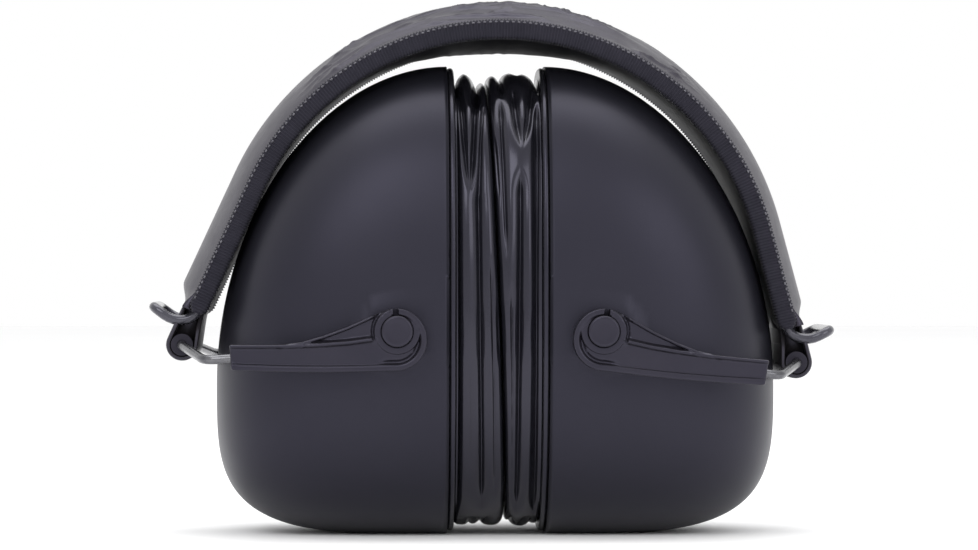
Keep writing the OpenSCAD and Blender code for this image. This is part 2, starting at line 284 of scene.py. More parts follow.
def finish(dark, light, rough, name, colour_scale, bumps, **sockets):
    """A material whose colour and roughness vary, with layers of fine bump. A layer of bump is
    its kind, scale, strength and depth."""
    mat, tree, shader = new_material(name)
    for key, value in sockets.items():
        shader.inputs[key.replace("_", " ")].default_value = value
    shader.inputs["Specular Tint"].default_value = (1, 1, 1, 1) if name in UNTINTED else COOL
    tone = noise_texture(tree, colour_scale, 4)
    tree.links.new(shades(tree, tone, dark, light), shader.inputs["Base Color"])
    wear = noise_texture(tree, colour_scale * 3.3, 3)
    ranged = add(tree, "ShaderNodeMapRange")
    ranged.inputs["To Min"].default_value, ranged.inputs["To Max"].default_value = rough
    tree.links.new(wear, ranged.inputs["Value"])
    tree.links.new(ranged.outputs["Result"], shader.inputs["Roughness"])
    normal = None
    for kind, scale, strength, depth in bumps:
        source = cells(tree, scale, kind) if kind in ("F1", "DISTANCE_TO_EDGE") \
            else noise_texture(tree, scale, 2)
        bump = add(tree, "ShaderNodeBump", Strength=strength, Distance=depth)
        tree.links.new(source, bump.inputs["Height"])
        if normal:
            tree.links.new(normal, bump.inputs["Normal"])
        normal = bump.outputs["Normal"]
    tree.links.new(normal, shader.inputs["Normal"])
    return mat


CUP_PLASTIC = finish((0.006, 0.006, 0.0085), (0.009, 0.009, 0.012), (0.36, 0.46), "cup_plastic",
                     24, (("noise", 2400, 0.25, 0.00005),), Specular_IOR_Level=0.42)
ARM_PLASTIC = finish((0.007, 0.0066, 0.009), (0.011, 0.010, 0.013), (0.26, 0.36), "arm_plastic",
                     70, (("noise", 2600, 0.2, 0.00005),), Specular_IOR_Level=0.5)
PLATE_PLASTIC = finish((0.012, 0.012, 0.013), (0.02, 0.02, 0.022), (0.4, 0.55), "plate_plastic",
                       80, (("noise", 1500, 0.3, 0.00006),))
RING_PLASTIC = finish((0.006, 0.006, 0.008), (0.011, 0.011, 0.013), (0.2, 0.28), "gloss_ring",
                      60, (("noise", 900, 0.1, 0.00004),))
VINYL = finish((0.003, 0.003, 0.0045), (0.007, 0.007, 0.009), (0.19, 0.27), "cushion_vinyl",
               90, (("noise", 1300, 0.12, 0.00004),), Coat_Weight=0.2, Coat_Roughness=0.1)
LEATHER = finish((0.014, 0.012, 0.016), (0.026, 0.023, 0.029), (0.3, 0.44), "leatherette",
                 110, (("DISTANCE_TO_EDGE", 1100, 0.35, 0.0001), ("noise", 3000, 0.2, 0.00005)))
# Painted shade: the lining is a darker, less shiny copy of the cover's leatherette, so the band's underside
# looks as dark as shade makes it.
LINING = finish((0.003, 0.003, 0.003), (0.007, 0.007, 0.007), (0.55, 0.7), "lining_leatherette_painted_shade",
                110, (("DISTANCE_TO_EDGE", 1300, 0.3, 0.00008),), Specular_IOR_Level=0.2)
LOOP_LEATHER = finish((0.014, 0.013, 0.014), (0.026, 0.024, 0.026), (0.4, 0.55), "loop_leather",
                      140, (("noise", 900, 0.3, 0.0001), ("noise", 3200, 0.2, 0.00005)))
TAPE = finish((0.004, 0.004, 0.005), (0.009, 0.0085, 0.011), (0.6, 0.8), "binding_tape",
              220, (("noise", 2600, 0.5, 0.0001),), Sheen_Weight=0.1, Sheen_Roughness=0.4)
THREAD = finish((0.055, 0.052, 0.062), (0.10, 0.097, 0.11), (0.45, 0.6), "thread",
                400, (("noise", 5000, 0.5, 0.00006),), Sheen_Weight=0.3)
STEEL = finish((0.09, 0.09, 0.10), (0.19, 0.19, 0.20), (0.2, 0.34), "drawn_steel",
               260, (("noise", 1600, 0.15, 0.00003),), Metallic=1.0)
BLACK_WIRE = finish((0.014, 0.014, 0.018), (0.03, 0.03, 0.036), (0.2, 0.34), "coated_wire",
                    200, (("noise", 1500, 0.12, 0.00003),), Coat_Weight=0.7, Coat_Roughness=0.12)
NYLON = finish((0.004, 0.0035, 0.0035), (0.008, 0.007, 0.007), (0.5, 0.65), "bush_nylon",
               150, (("noise", 1800, 0.2, 0.00004),))
FOAM = finish((0.012, 0.012, 0.013), (0.045, 0.045, 0.047), (0.9, 1.0), "open_cell_foam",
              500, (("F1", 900, 0.9, 0.0004), ("noise", 2500, 0.4, 0.0001)))
PALE = finish((0.95, 0.95, 0.955), (0.97, 0.97, 0.97), (0.7, 0.8), "pale_floor", 3,
              (("noise", 60, 0.05, 0.0002),))


# ---------------------------------------------------------------- cups

def rounded(t, power):
    """Height of a rounded profile at a share of its length."""
    return np.maximum(0, 1 - t ** power) ** (1 / power)


def oval(half_w, half_h, mid, count):
    a = 2 * np.pi * (np.arange(count) + 0.5) / count
    c, s = np.cos(a), np.sin(a)
    return (half_w * np.sign(c) * np.abs(c) ** (2 / OVAL_POWER),
            mid + half_h * np.sign(s) * np.abs(s) ** (2 / OVAL_POWER))


def dome_ring(t, inset, count, x=None):
    """Ring of a dome's surface at a share of its depth, inside the cup's surface by an inset."""
    top = NOSE_Z + (CUP_HEIGHT - inset - NOSE_Z) * rounded(t, ROUND_TOP)
    low = NOSE_Z - (NOSE_Z + FOOT_CUT - inset) * rounded(t, ROUND_BOTTOM)
    half_w = (CUP_WIDTH / 2 - inset) * rounded(t, ROUND_PLAN)
    y, z = oval(half_w, (top - low) / 2, (top + low) / 2, count)
    across = np.full(count, RIM_X + (CUP_DEPTH - inset) * t if x is None else x)
    return np.stack([across, y, np.maximum(z, inset)], 1)


def pad_share(out, up):
    """How far a point beside a pivot stands on the raised pad that widens towards the rim."""
    disc = np.hypot(out, up + 0.4) - PAD_DISC_R
    wedge = out - PAD_INNER_END
    for (edge_out, edge_up), (way_out, way_up) in PAD_EDGES:
        wedge = np.maximum(wedge, way_out * (out - edge_out) + way_up * (up - edge_up))
    return smooth(np.minimum(disc, wedge), PAD_STEP, -PAD_STEP) * smooth(out, -11.5, -6.5)


def cup_dome(name, side):
    count = 380
    depths = [rounded(s, 3.3) for s in np.linspace(0.004, 1, 110)[:-1]]
    depths += list(np.arange(0, 0.44, 0.02))         # closer together at the rim
    depths = sorted(set(depths), reverse=True)
    flank_from = 25                                   # the pad is on the front and rear flanks
    outer = np.array([dome_ring(t, 0, count) for t in depths])
    out, up = outer[..., 0] - abs(pivot(name)[0]), outer[..., 2] - pivot(name)[1]
    y = outer[..., 1]
    raise_by = np.maximum(0, PAD_FACE_Y - np.abs(y)) * pad_share(out, up)
    outer[..., 1] += np.where(np.abs(y) > flank_from, np.sign(y) * raise_by, 0)
    lip = [dome_ring(0, 0, count, RIM_X + 0.25), dome_ring(0, 0.08, count, RIM_X + 0.08),
           dome_ring(0, 0.3, count, RIM_X), dome_ring(0, CUP_WALL - 0.2, count, RIM_X)]
    inner = [dome_ring(t, CUP_WALL, count) for t in np.sin(np.linspace(0, 1.54, 26))]
    verts, faces = capped(np.concatenate([outer, lip, inner]))
    make_piece(f"{name}_cup_dome", mirrored(verts, side), faces, f"{name}_cup",
               CUP_PLASTIC, [f"{name}_cup_shell"])


def cushion_ring(name, side):
    """The stiff ring between cup and cushion: a rounded bead outside, a plain edge inside. An
    inset below 0 stands for that inner edge."""
    count = 300
    profile = [(RING_X + 0.05, -1.0), (RING_X + 0.05, 0.9), (RING_X + 0.15, 0.62),
               (RING_X + 0.4, 0.4), (RING_X + 0.75, 0.32), (RING_X + 1.1, 0.42),
               (RING_X + 1.35, 0.66), (RING_X + 1.45, 0.95), (RING_X + 1.45, -1.0)]
    rings = []
    for x, inset in profile:
        if inset < 0:
            y, z = oval(EAR_HALF_WIDTH + 1, EAR_HALF_HEIGHT + 1, OVAL_Z, count)
        else:
            y, z = oval(CUP_WIDTH / 2 - inset, CUP_HEIGHT / 2 - inset, OVAL_Z, count)
        rings.append(np.stack([np.full(count, x), y, z], 1))
    verts, faces = capped(rings, close_rows=True)
    make_piece(f"{name}_seal_ring", mirrored(verts, side), faces, f"{name}_cup",
               RING_PLASTIC, [f"{name}_cushion_ring"], sharp=50)


# Cushions. The two skins meet on a slanted line, so one is wider at the top and the other at
# the bottom. Folds are strokes: points (height or place round the outline, across), a depth
# and a width.

def split_x(z):
    """Where the two cushions meet at a height, across the part."""
    return 1.75 - 0.040 * z + 0.35 * np.sin(z / 100 * np.pi)


OUTLINE_COUNT = 420


def outline():
    """The cushion's outline: points, outward directions, and the way round from the top."""
    y, z = oval(CUP_WIDTH / 2 - SKIN_INSET, CUP_HEIGHT / 2 - SKIN_INSET, OVAL_Z, OUTLINE_COUNT)
    p = np.stack([y, z], 1)
    ahead = np.roll(p, -1, 0) - np.roll(p, 1, 0)
    normal = np.stack([ahead[:, 1], -ahead[:, 0]], 1)
    normal /= np.linalg.norm(normal, axis=1)[:, None]
    step = np.linalg.norm(np.roll(p, -1, 0) - p, axis=1)
    run = np.concatenate([[0], np.cumsum(step)[:-1]])
    total = step.sum()
    top = run[np.argmax(z - np.abs(y))]
    s = (run - top + total / 2) % total - total / 2    # positive towards the front
    return p, normal, s


FRONT_FOLDS = {
    "left": [
        ([(99, -8.5), (86, -7.5), (72.8, -6.4)], 1.7, 0.75),
        ([(98, -4.3), (86, -5.3), (72.8, -6.2)], 1.9, 0.75),
        ([(96, -2.8), (84, -3.9), (66, -4.6)], 1.3, 0.6),
        ([(78, -4.5), (60, -4.3), (29, -3.9), (6, -3.4)], 1.6, 0.85),
        ([(97, -9.2), (50, -8.9), (4, -8.9)], 1.4, 0.8),
        ([(62, -1.9), (40, -1.3), (8, -0.6)], 0.7, 0.5),
        ([(52, -0.6), (36, 0.0)], 0.6, 0.4),
        ([(40, -6.4), (12, -6.0)], 0.5, 0.6),
    ],
    "right": [
        ([(98, 3.0), (90, 3.9), (82.3, 4.9)], 1.9, 0.8),
        ([(98, 7.9), (90, 6.6), (82.3, 5.1)], 1.9, 0.8),
        ([(80, 4.6), (60, 4.4), (29, 4.1), (5, 4.0)], 1.8, 0.95),
        ([(95, 8.3), (60, 7.9), (29, 7.8), (4, 7.9)], 1.7, 0.95),
        ([(95, 0.4), (78, 0.9), (58, 1.6)], 1.2, 0.7),
        ([(88, -1.0), (70, 0.2)], 0.8, 0.5),
        ([(56, 2.6), (34, 2.7), (8, 2.9)], 0.8, 0.55),
        ([(46, 6.1), (20, 6.0)], 0.4, 0.5),
    ],
}
TOP_FOLDS = {  # (way round from the top, across)
    "left": [([(30, -4.6), (8, -4.2), (-22, -5.0)], 4.2, 1.2),
             ([(26, -8.9), (0, -8.8), (-24, -8.6)], 2.6, 1.0),
             ([(16, -2.4), (-14, -1.8)], 1.2, 0.8)],
    "right": [([(26, 0.9), (4, 0.6), (-16, 1.2)], 2.2, 0.9),
              ([(24, 8.8), (0, 8.7), (-22, 8.4)], 3.0, 1.1),
              ([(14, 4.4), (-18, 5.2)], 0.8, 1.0)],
}


def folds_for(name, s_of_height):
    """Strokes for one cushion: the front's, the top's, and seeded ones for the rest."""
    side = SIDES[name]
    strokes = [([(s_of_height(z), side * x) for z, x in pts], d, w)
               for pts, d, w in FRONT_FOLDS[name]]
    strokes += [([(s, side * x) for s, x in pts], d, w) for pts, d, w in TOP_FOLDS[name]]
    rng = np.random.default_rng(11 if name == "left" else 23)
    for start, end in ((-24, -142), (124, 150)):
        way = start
        while abs(way) < abs(end):
            length = rng.uniform(26, 52)
            for across in (rng.uniform(2.6, 4.2), rng.uniform(5.4, 7.4)):
                drift = rng.uniform(-0.9, 0.9)
                far = np.clip(way + np.sign(end) * length, -145, 146)
                strokes.append(([(way, across), ((way + far) / 2, across + drift / 2),
                                 (far, across + drift)], rng.uniform(0.8, 1.7), rng.uniform(0.6, 1)))
            tip = rng.uniform(3.5, 6)
            strokes.append(([(way, tip - 1.9), (way + np.sign(end) * 13, tip)], 1.0, 0.6))
            strokes.append(([(way, tip + 1.9), (way + np.sign(end) * 13, tip)], 1.0, 0.6))
            way += np.sign(end) * length * 0.62
    return strokes


def stroke_depth(s, x, strokes):
    """How deep the folds are at places (way round, across). Each fold is sharp and fades out."""
    total = np.zeros_like(s)
    for points, depth, width in strokes:
        p = np.array(points, float)
        lengths = np.linalg.norm(np.diff(p, axis=0), axis=1)
        before = np.concatenate([[0], np.cumsum(lengths)])
        nearest = np.full(s.shape, 1e9)
        along = np.zeros_like(s)
        for i, length in enumerate(lengths):
            d = (p[i + 1] - p[i]) / length
            t = np.clip((s - p[i, 0]) * d[0] + (x - p[i, 1]) * d[1], 0, length)
            away = np.hypot(s - p[i, 0] - t * d[0], x - p[i, 1] - t * d[1])
            closer = away < nearest
            nearest = np.where(closer, away, nearest)
            along = np.where(closer, before[i] + t, along)
        span = before[-1]
        fade = smooth(along, 0, min(7, span / 3)) * smooth(along, span, span - min(9, span / 3))
        dent = depth * fade * np.exp(-nearest / width)
        total = np.maximum(total, dent) + 0.25 * np.minimum(total, dent)
    return total


def cushion(name, side):
    """A creased ring of vinyl skin, from its stiff ring to where it meets the other cushion."""
    p, normal, s = outline()
    inner = np.stack(oval(EAR_HALF_WIDTH, EAR_HALF_HEIGHT, OVAL_Z, OUTLINE_COUNT), 1)
    back = RING_X + 0.04
    face = side * split_x(p[:, 1]) + SKIN_GAP       # where this skin meets the other, per point
    face_in = side * split_x(inner[:, 1]) + SKIN_GAP
    width = back - face
    front = (p[:, 0] < 0)
    heights, ways = p[front, 1], s[front]
    order = np.argsort(heights)

    def s_of_height(z):
        return float(np.interp(z, heights[order], ways[order]))

    strokes = folds_for(name, s_of_height)
    near_ring, near_face = 1.1, 2.0                  # rounding of the two outer edges
    rows = []
    for v in np.concatenate([np.linspace(0, 0.1, 6), np.linspace(0.1, 0.86, 58)[1:],
                             np.linspace(0.86, 1, 12)[1:]]):
        x = back - v * width
        edge = np.clip(1 - v * width / near_ring, 0, 1)
        corner = np.clip(1 - (1 - v) * width / near_face, 0, 1)
        offset = 0.5 * np.sin(np.pi * v) - near_ring * (1 - np.sqrt(1 - edge ** 2)) \
            - near_face * (1 - np.sqrt(1 - corner ** 2))
        swell = 0.3 * noise(s / 24.0, x / 4.0, 5 + side)
        dent = stroke_depth(s, x, strokes) * smooth(np.full_like(s, v), 0.0, 0.05)
        offset = offset + swell * math.sin(math.pi * min(1, v * 1.1)) ** 0.5 - dent
        ring = p + normal * offset[:, None]
        rows.append(np.stack([x, ring[:, 0], ring[:, 1]], 1))
    edge_ring = rows[-1][:, 1:]
    edge_in = inner + (p - inner) / np.linalg.norm(p - inner, axis=1)[:, None] * SKIN_LIP_R
    for f in np.linspace(0, 1, 16)[1:]:              # the face that seals
        ring = edge_ring * (1 - f) + edge_in * f
        crease = 0.10 * noise(s / 3.0, np.full_like(s, f * 3), 9) * math.sin(math.pi * f)
        rows.append(np.stack([side * split_x(ring[:, 1]) + SKIN_GAP + np.abs(crease),
                              ring[:, 0], ring[:, 1]], 1))
    for a in np.linspace(0, np.pi / 2, 7)[1:]:       # round the ear opening
        ring = inner + (edge_in - inner) * (1 - math.sin(a))
        rows.append(np.stack([face_in + SKIN_LIP_R * (1 - math.cos(a)), ring[:, 0], ring[:, 1]], 1))
    for f in np.linspace(0, 1, 6)[1:]:
        ring = inner + (edge_in - inner) * 0.12 * math.sin(math.pi * f)
        rows.append(np.stack([(face_in + SKIN_LIP_R) * (1 - f) + back * f, ring[:, 0], ring[:, 1]], 1))
    verts, faces = capped(rows, close_rows=True)
    verts[:, 2] = np.maximum(verts[:, 2], 0.25)
    obj = make_piece(f"{name}_cushion", mirrored(verts, side), faces, f"{name}_cup",
                     VINYL, [f"{name}_cushion_skin", f"{name}_cushion_foam"])


def foam_liner(name, side):
    """Open-cell foam that fills the bottom of a cup, with a soft dimpled face that curls up
    towards its edge."""
    count = 160
    share = (LINER_X - RIM_X) / CUP_DEPTH
    rim_x, dish, curl = LINER_X + 0.6, 0.8, 96
    edge = dome_ring(share, CUP_WALL + LINER_GAP, count)
    rings = []
    for f in np.linspace(0.02, 1, 30):
        y, z = edge[:, 1] * f, LINER_MID_Z + (edge[:, 2] - LINER_MID_Z) * f
        bump = 0.5 * noise(y / 6.0, z / 6.0, 3) + 0.3 * noise(y / 2.0, z / 2.0, 4)
        x = rim_x - dish * math.cos(f * math.pi / 2) + curl * max(0, f - 0.9) ** 2
        rings.append(np.stack([x + bump, y, z], 1))
    for t in np.sin(np.linspace(math.asin(share) + 0.05, 1.5, 12)):
        rings.append(dome_ring(t, CUP_WALL + LINER_GAP, count))
    verts, faces = capped(rings)
    obj = make_piece(f"{name}_foam_pad", mirrored(verts, side), faces, f"{name}_cup",
                     FOAM, [f"{name}_foam_liner"])


def pivot_buttons(name, side):
    """Front and rear posts with a rounded button head."""
    x0, z0 = abs(pivot(name)[0]), pivot(name)[1]
    profile = [(1.5, 0.58), (2.3, 0.60), (2.65, 0.66), (2.95, 0.66), (3.22, 0.52), (3.35, 0.25),
               (3.3, -0.1), (3.12, -0.3), (3.12, -5.6)]      # radius, and rise over the arm's face
    turn = np.linspace(0, 2 * np.pi, 72, endpoint=False)
    circle = np.stack([np.cos(turn), 0 * turn, np.sin(turn)], 1)
    parts = []
    for way in (-1, 1):
        rings = [np.array([x0, way * (ARM_FACE_Y + rise), z0]) + r * circle for r, rise in profile]
        parts.append(capped(rings))
    verts, faces = joined(parts)
    make_piece(f"{name}_pivot_buttons", mirrored(verts, side), faces, f"{name}_cup",
               ARM_PLASTIC, [f"{name}_pivot_posts"], sharp=40)


# ---------------------------------------------------------------- arms

def under_edge(u):
    """Height of the arm's lower edge at a place along it."""
    share = (u - UNDER_FROM) / UNDER_RUN
    return UNDER_LOW + UNDER_RISE * share - UNDER_BOW * np.sin(np.pi * np.clip(share, 0, 1))


def head_arc(start, stop):
    """Points every 4 degrees round the arm's head."""
    return [(HEAD_AT[0] + HEAD_R * math.cos(a), HEAD_AT[1] + HEAD_R * math.sin(a))
            for a in np.radians(np.arange(start, stop, 4))]


def arm_outline():
    """Arm's outline with its sprung slot and round hole, evenly spaced, anticlockwise."""
    hole_r, slot = (POST_R + 0.06) / ARM_SCALE, 0.55
    head, lead = head_arc(92.5, 277), head_arc(64, 84)
    under = [(x, under_edge(x)) for x in np.linspace(3, 36.3, 12)]
    end = [(36.9, -5.95), (37.1, -5.7), (37.1, -0.6), (36.85, -0.35)]
    over = [(30.5, -0.85), (25.5, -1.1), (21.2, -0.9), (16.5, 0.1), (11, 1.7), (6.5, 3.4)]
    start = math.asin(slot / hole_r)
    hole = [(hole_r * math.sin(a), hole_r * math.cos(a))
            for a in np.linspace(start, 2 * math.pi - start, 56)]
    corners = head + under + end + over + lead + [(slot, 5.04)] + hole + [(-slot, 5.02)]
    p = np.array(corners)
    out = []
    for a, b in zip(p, np.roll(p, -1, 0)):
        n = max(1, int(round(np.linalg.norm(b - a) / 0.3)))
        out += [a + (b - a) * t for t in np.arange(n) / n]
    return np.array(out) * ARM_SCALE


def distance_to(points, path, closed=False):
    """Distance of points from a polyline."""
    a = np.asarray(path, float)
    b = np.roll(a, -1, 0) if closed else a[1:]
    a = a if closed else a[:-1]
    best = np.full(len(points), 1e9)
    for p, q in zip(a, b):
        d = q - p
        t = np.clip(((points - p) @ d) / max(d @ d, 1e-9), 0, 1)
        best = np.minimum(best, np.hypot(*(points - p - t[:, None] * d).T))
    return best


def inside(points, loop):
    x, y = points[:, 0], points[:, 1]
    a, b = loop, np.roll(loop, -1, 0)
    odd = np.zeros(len(points), bool)
    for (x1, y1), (x2, y2) in zip(a, b):
        if y1 != y2:
            hit = ((y1 > y) != (y2 > y)) & (x < (x2 - x1) * (y - y1) / (y2 - y1) + x1)
            odd ^= hit
    return odd


RIDGE = [(4.4, -1.3), (11, -1.75), (17.7, -1.8), (24, -1.62), (30.5, -1.15), (37.2, -0.7)]
UPPER_EDGE = [(4.9, 4.1), (6.5, 3.4), (11, 1.7), (16.5, 0.1), (21.2, -0.9), (24.5, -1.15)]


def arm_relief(points, loop):
    """Height of an arm's front over its face: rim, groove, flat, ridge, web, lip, the moat round
    the head's collar, and the collar."""
    drawn = points / ARM_SCALE
    u, v = drawn.T
    radius = np.hypot(u, v)
    head = np.hypot(u - HEAD_AT[0], v - HEAD_AT[1])
    inward = np.where(u > UNDER_FROM, v - under_edge(u), HEAD_R - head)    # in from the rim's edge
    rim = smooth(inward, 1.95, 1.2) * np.where(u < UNDER_FROM, 1, smooth(v, -1.6, -2.4))
    head_side = smooth(u, 5, 1)
    groove = smooth(inward, 1.45, 1.8) * smooth(inward, 2.5, 2.0) * head_side * smooth(v, 3.6, 2.4)
    level = FLAT_LEVEL - GROOVE_DEPTH * groove
    ridge_v = np.interp(u, *np.array(RIDGE).T)
    web = smooth(v - ridge_v, 0.35, 0.8) * smooth(u, 4.4, 5.0) * smooth(u, 24.5, 22)
    level = level * (1 - web) + WEB_LEVEL * web
    lip = smooth(distance_to(drawn, UPPER_EDGE), 0.75, 0.4) * smooth(u, 4.6, 5.4)
    level = np.maximum(level, WEB_LEVEL + LIP_RISE * lip)
    ridge = smooth(distance_to(drawn, RIDGE), 1.0, 0.1) * smooth(u, 4.0, 5.0)
    level = np.maximum(level, WEB_LEVEL + RIDGE_RISE * ridge)
    moat = smooth(np.abs(radius - MOAT_R), 0.4, 0.15) * smooth(v, -1.9, -1.3) * (u > 0)
    level -= MOAT_DEPTH * moat
    collar = smooth(radius, COLLAR_R + 0.2, COLLAR_R - 0.2)
    level = np.maximum(level, HEAD_LEVEL + COLLAR_RISE * collar)
    level = np.maximum(level, HEAD_LEVEL + RIM_RISE * rim)
    short = np.maximum(0, EDGE_ROUND - distance_to(points, loop, closed=True))
    return level - (EDGE_ROUND - np.sqrt(np.maximum(0, EDGE_ROUND ** 2 - short ** 2)))


def beside(path, offsets, step):
    """Points in rows beside a polyline, at offsets to its left."""
    p = np.asarray(path, float)
    run = np.concatenate([[0], np.cumsum(np.linalg.norm(np.diff(p, axis=0), axis=1))])
    at = np.arange(0, run[-1], step)
    x, y = np.interp(at, run, p[:, 0]), np.interp(at, run, p[:, 1])
    ahead = np.stack([np.gradient(x), np.gradient(y)], 1)
    ahead /= np.linalg.norm(ahead, axis=1)[:, None]
    left = np.stack([-ahead[:, 1], ahead[:, 0]], 1)
    return np.vstack([np.stack([x, y], 1) + left * d for d in offsets])


def arm_shape():
    """One arm seen from the front, its pivot at the origin: points (along, depth, up), faces.
    Rows of points follow the outline and the ridge, and a grid fills the rest."""
    loop = arm_outline()
    step = 0.26
    fringe = 2.35                                     # rows follow the outline this far in
    insets = (0.07, 0.16, 0.28, 0.45, 0.7, 1.0, 1.3, 1.42, 1.55, 1.68, 1.82, 2.0, 2.25)
    rows = beside(np.vstack([loop, loop[:1]]), insets, 0.27)
    wanted = np.repeat(insets, len(rows) // len(insets))
    keep = inside(rows, loop)
    keep &= np.abs(distance_to(rows, loop, closed=True) - wanted) < 0.02
    rows = rows[keep]
    ridge = np.array(RIDGE) * ARM_SCALE
    along_ridge = beside(ridge, (-0.8, -0.62, -0.45, -0.28, -0.1, 0.1, 0.28, 0.45, 0.62, 0.8), 0.25)
    turn = np.linspace(0, 2 * np.pi, 100, endpoint=False)
    round_collar = np.vstack([r * np.stack([np.cos(turn), np.sin(turn)], 1)
                              for r in (4.6, 4.75, 4.9, 5.05, 5.2, 5.4, 5.6, 5.8)])
    centre = np.vstack([along_ridge, round_collar])
    centre = centre[inside(centre, loop)]
    centre = centre[distance_to(centre, loop, closed=True) > fringe]
    gu, gv = np.meshgrid(np.arange(-7, 36, step), np.arange(-9, 5, step * 0.866))
    gu[1::2] += step / 2
    grid = np.stack([gu.ravel(), gv.ravel()], 1)
    grid = grid[inside(grid, loop)]
    grid = grid[distance_to(grid, loop, closed=True) > fringe]
    grid = grid[distance_to(grid, ridge) > 0.95]
    grid = grid[np.abs(np.hypot(*grid.T) - 5.2) > 0.75]
    n = len(loop)
    points = np.vstack([loop, rows, centre, grid])
    found, _, tris, *_ = delaunay_2d_cdt([Vector(p) for p in points],
                                         [(i, (i + 1) % n) for i in range(n)], [], 1, 1e-6)
    flat = np.array([tuple(p) for p in found])
    front = np.stack([flat[:, 0], -(ARM_FACE_Y + arm_relief(flat, loop)), flat[:, 1]], 1)
    back_loop = np.stack([loop[:, 0], np.full(n, -ARM_BACK_Y), loop[:, 1]], 1)
    _, _, tris_back, *_ = delaunay_2d_cdt([Vector(p) for p in loop],
                                          [(i, (i + 1) % n) for i in range(n)], [], 1, 1e-6)
    m = len(front)
    faces = [list(t) for t in tris]
    faces += [[m + i for i in t] for t in tris_back]
    faces += [[i, m + i, m + (i + 1) % n, (i + 1) % n] for i in range(n)]
    return np.vstack([front, back_loop]), faces


def arm_line(name):
    """Distance from pivot to hinge, and the unit directions along and square to that line, in
    the right side's sense."""
    span = hinge(name) - pivot(name)
    span[0] = abs(span[0])
    length = np.linalg.norm(span)
    along = span / length
    return length, along, np.array([-along[1], along[0]])


def on_arm_line(points, name):
    """Points (along, depth, up) of an arm's frame, in the part's frame on the right side."""
    p = np.asarray(points, float)
    _, along, up = arm_line(name)
    x = abs(pivot(name)[0]) + p[:, 0] * along[0] + p[:, 2] * up[0]
    z = pivot(name)[1] + p[:, 0] * along[1] + p[:, 2] * up[1]
    return np.stack([x, p[:, 1], z], 1)


def stirrup(name, side):
    length = arm_line(name)[0]
    bend = length - SHOULDER_RUN
    half = [(bend - SLIDE_LENGTH, -WIRE_Y, -WIRE_DROP), (bend, -WIRE_Y, -WIRE_DROP),
            (length, -CROSSBAR_HALF, 0)]
    path = half + [(x, -y, z) for x, y, z in reversed(half)]
    verts, faces = tube(rounded_corners(path, 3.2), WIRE_R)
    make_piece(f"{name}_stirrup", mirrored(on_arm_line(verts, name), side), faces,
               f"{name}_stirrup", STEEL, [f"{name}_stirrup_wire"])


# ---------------------------------------------------------------- headband

def band_surface(s, out, along):
    """Points of the headband: a way along its middle line (right is positive), out from it,
    and along its width."""
    s, out, along = np.broadcast_arrays(np.asarray(s, float), out, along)
    on_arc = np.clip(s, -ARC[-1], ARC[1])
    a = on_arc / BAND_R
    x = (BAND_R + out) * np.sin(a) + (s - on_arc) * np.cos(a)
    z = (BAND_R + out) * np.cos(a) - (s - on_arc) * np.sin(a)
    return np.stack([BAND_X + x, along, BAND_Z + z], -1)


def to_end(s):
    """Distance along the headband to the nearer end of its padding."""
    return np.minimum(PAD_END[1] - s, PAD_END[-1] + s)


def ways_along(count):
    return np.linspace(-PAD_END[-1], PAD_END[1], count)[:, None]


def fullness(y):
    return np.maximum(0, 1 - (y / HALF_PAD) ** 2)


def topness(s):
    """Sine of a station's angle on the band: 1 at the top."""
    return np.cos(np.clip(s, -ARC[-1], ARC[1]) / BAND_R)


def crown_out(s, y):
    full = HALF_EDGE + CROWN * (SIDE_CROWN + (1 - SIDE_CROWN) * topness(s) ** 2) * fullness(y)
    end = smooth(to_end(s), 5, 0)
    return full * (1 - end) + COVER_END_OUT * end


def lining_out(s, y):
    full = -HALF_EDGE - (SIDE_BULGE + TOP_BULGE * topness(s) ** 12) * fullness(y)
    run = np.clip(1 - to_end(s) / 2.6, 0, 1)
    return LINING_END_OUT + (full - LINING_END_OUT) * np.sqrt(1 - run ** 2 * 0.96)


def cover_wrinkles(s, y):
    """Gathers that run along the cover near its top, crossed by a few short ones."""
    near_top = smooth(np.abs(s), 50, 26)
    warp = 1.3 * noise(s / 13.0, y / 8.0, 31)
    long_ones = 1 - np.abs(noise(s / 20.0, (y + warp) / 2.7, 32))
    short_ones = 1 - np.abs(noise(s / 4.6 + y / 5.0, (y - s / 3.0) / 4.0, 33))
    crossing = 1 - np.abs(noise(s / 4.6 - y / 5.0, (y + s / 3.0) / 4.0, 34))
    here = smooth(noise(s / 8.0, y / 7.0, 36), 0.0, 0.45)
    folds = 1.0 * long_ones ** 4 + 0.8 * here * np.maximum(short_ones, crossing) ** 5
    calm = 0.15 + 0.65 * smooth(np.abs(y), 3, 10)
    return (folds - 0.4) * near_top * calm + 0.06 * noise(s / 22.0, y / 9.0, 35)


def headband_cover():
    s = ways_along(560)
    edge = HALF_PAD + TUCK
    over = np.linspace(-edge, edge, 92)[None, :]
    lift = cover_wrinkles(s, over) * smooth(np.abs(over), HALF_PAD, HALF_PAD - 2.2) \
        * smooth(to_end(s), 0, 10)
    top = band_surface(s, crown_out(s, over) + lift, over)
    under = np.linspace(edge, -edge, 16)[None, :]
    low = band_surface(s, np.minimum(crown_out(s, under) - 1.1, HALF_EDGE - 0.6), under)
    verts, faces = capped(np.concatenate([top, low], 1))
    obj = make_piece("headband_pad", verts, faces, "headband", LEATHER,
                     ["headband_cover", "headband_foam"])


def headband_lining():
    s = ways_along(420)
    edge = HALF_PAD + TUCK
    over = np.linspace(-edge, edge, 60)[None, :]
    pinch = 0.22 * np.abs(noise(s / 2.6, over / 12.0, 41)) * topness(s) ** 4 * fullness(over)
    low = band_surface(s, lining_out(s, over) + pinch, over)
    back = np.linspace(edge, -edge, 10)[None, :]
    top = band_surface(s, -0.4 + 0 * back, back)
    verts, faces = capped(np.concatenate([low, top], 1))
    obj = make_piece("headband_underside", verts, faces, "headband", LINING,
                     ["headband_lining"])


